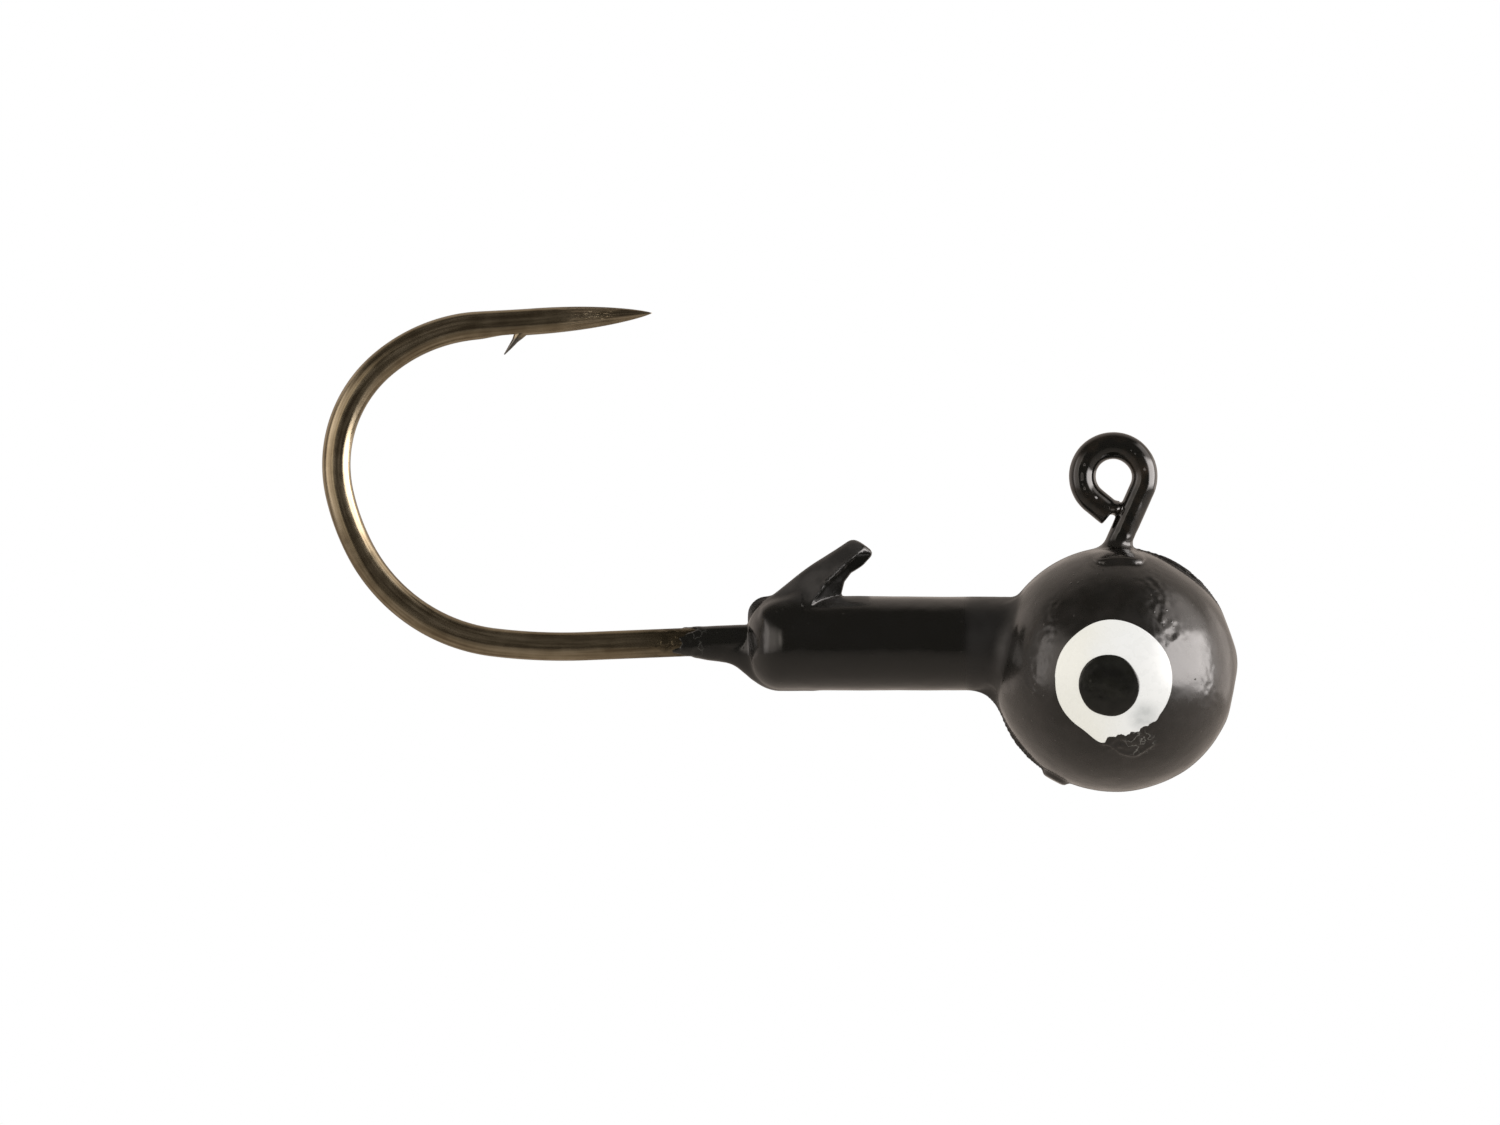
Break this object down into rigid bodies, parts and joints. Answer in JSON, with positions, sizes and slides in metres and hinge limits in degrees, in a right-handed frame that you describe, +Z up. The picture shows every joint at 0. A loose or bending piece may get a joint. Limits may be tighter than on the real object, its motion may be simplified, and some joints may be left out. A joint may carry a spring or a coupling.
{
  "type": "jig head",
  "caption": "Ball-head fishing jig: painted lead ball with painted eyes, a collar with a keeper barb, and a barbed hook with an upright line eye.",
  "frame": {"origin": "centre of the line eye, the ring at the top of the hook's neck that the lure hangs from", "axes": "+X out of the ball's nose, away from the bend; +Y across, along the line eye's hole; +Z up from the ball to the line eye"},
  "size_m": [0.0383, 0.0104, 0.0203],
  "materials": {
    "bronze_hook": "gloss",
    "lead": "satin",
    "black_enamel": "gloss",
    "white_paint": "gloss",
    "black_paint": "gloss"
  },
  "bodies": {
    "root": {"hook": "bronze_hook", "lead_casting": "lead", "head_enamel": "black_enamel", "line_eye_enamel": "black_enamel", "shank_enamel": "black_enamel", "right_eye_white": "white_paint", "left_eye_white": "white_paint", "right_eye_pupil": "black_paint", "left_eye_pupil": "black_paint"}
  },
  "joints": []
}
